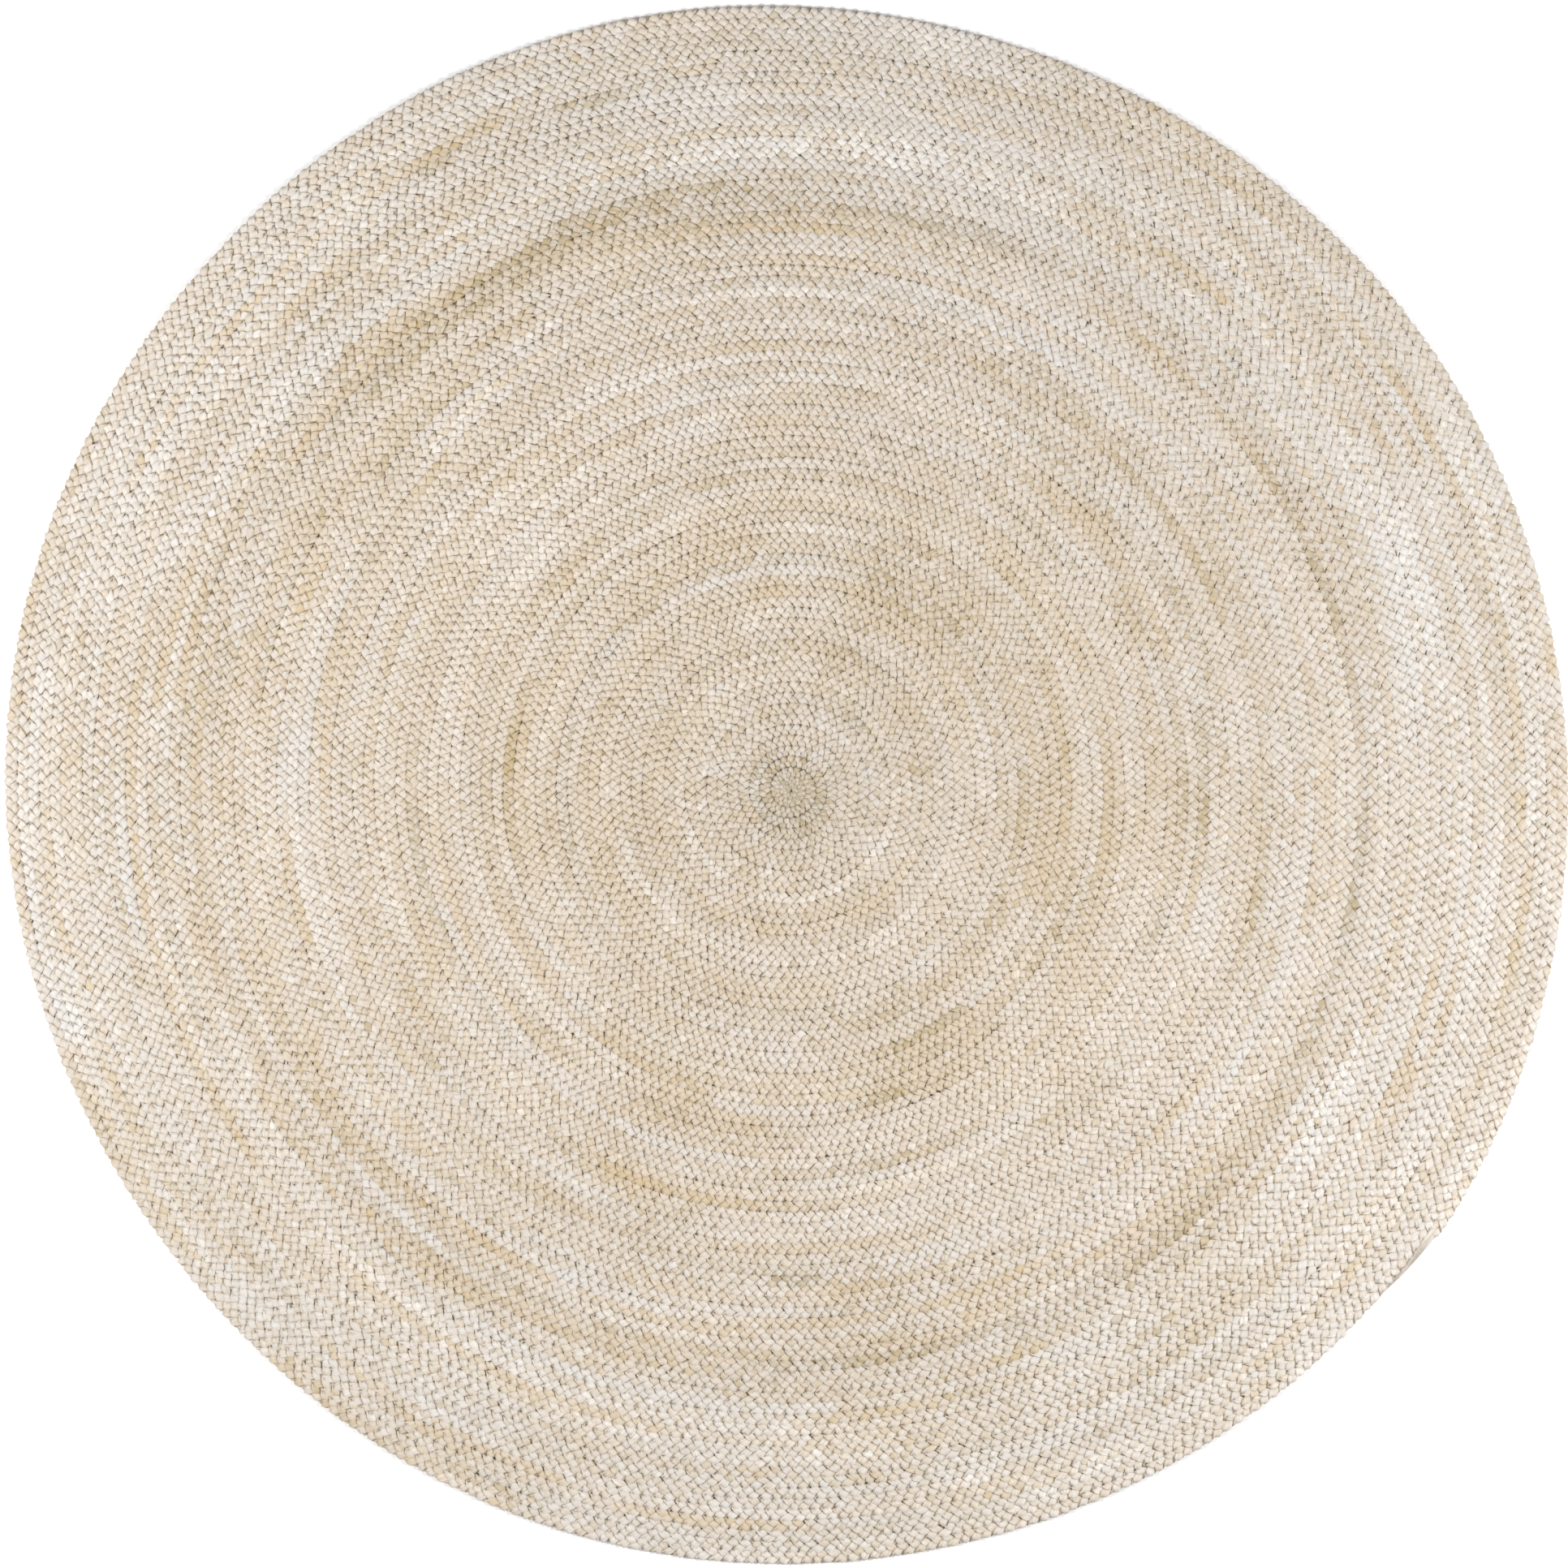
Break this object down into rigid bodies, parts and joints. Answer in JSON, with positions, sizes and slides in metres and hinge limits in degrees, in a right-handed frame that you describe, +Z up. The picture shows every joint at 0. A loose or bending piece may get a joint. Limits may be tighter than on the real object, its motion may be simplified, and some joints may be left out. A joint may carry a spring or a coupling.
{
  "type": "area rug",
  "caption": "Round, flat, reversible rug of three-strand jute braid, wound in a spiral and sewn turn to turn, in natural off-white.",
  "frame": {"origin": "middle of the rug's bounding box at its underside, on the floor", "axes": "+Z up out of the rug's face; the braid's tail ends at about -38 degrees from +X towards +Y, seen from the eye of the spiral"},
  "size_m": [1.8308, 1.8258, 0.008],
  "materials": {
    "jute_greige": "matt plaited jute, greyish beige",
    "jute_cream": "matt plaited jute, cream",
    "jute_straw": "matt plaited jute, straw yellow",
    "jute_ivory": "matt plaited jute, ivory",
    "jute_bleached": "plaited jute, bleached off-white with a faint silky sheen",
    "sewing_thread": "matt undyed sewing thread"
  },
  "bodies": {
    "root": {"centre_start": "jute_greige", "braid_length_01": "jute_greige", "braid_length_02": "jute_cream", "braid_length_03": "jute_cream", "braid_length_04": "jute_straw", "braid_length_05": "jute_cream", "braid_length_06": "jute_cream", "braid_length_07": "jute_straw", "braid_length_08": "jute_ivory", "braid_length_09": "jute_cream", "braid_length_10": "jute_ivory", "braid_length_11": "jute_ivory", "braid_length_12": "jute_cream", "braid_length_13": "jute_straw", "braid_length_14": "jute_greige", "braid_length_15": "jute_ivory", "braid_length_16": "jute_bleached", "braid_length_17": "jute_ivory", "braid_length_18": "jute_bleached", "braid_length_19": "jute_ivory", "braid_length_20": "jute_bleached", "braid_length_21": "jute_ivory", "braid_length_22": "jute_bleached", "braid_length_23": "jute_bleached", "braid_length_24": "jute_ivory", "braid_tail": "jute_ivory", "seam_thread_centre": "sewing_thread", "seam_thread_edge": "sewing_thread", "tail_lacing": "sewing_thread"}
  },
  "joints": []
}
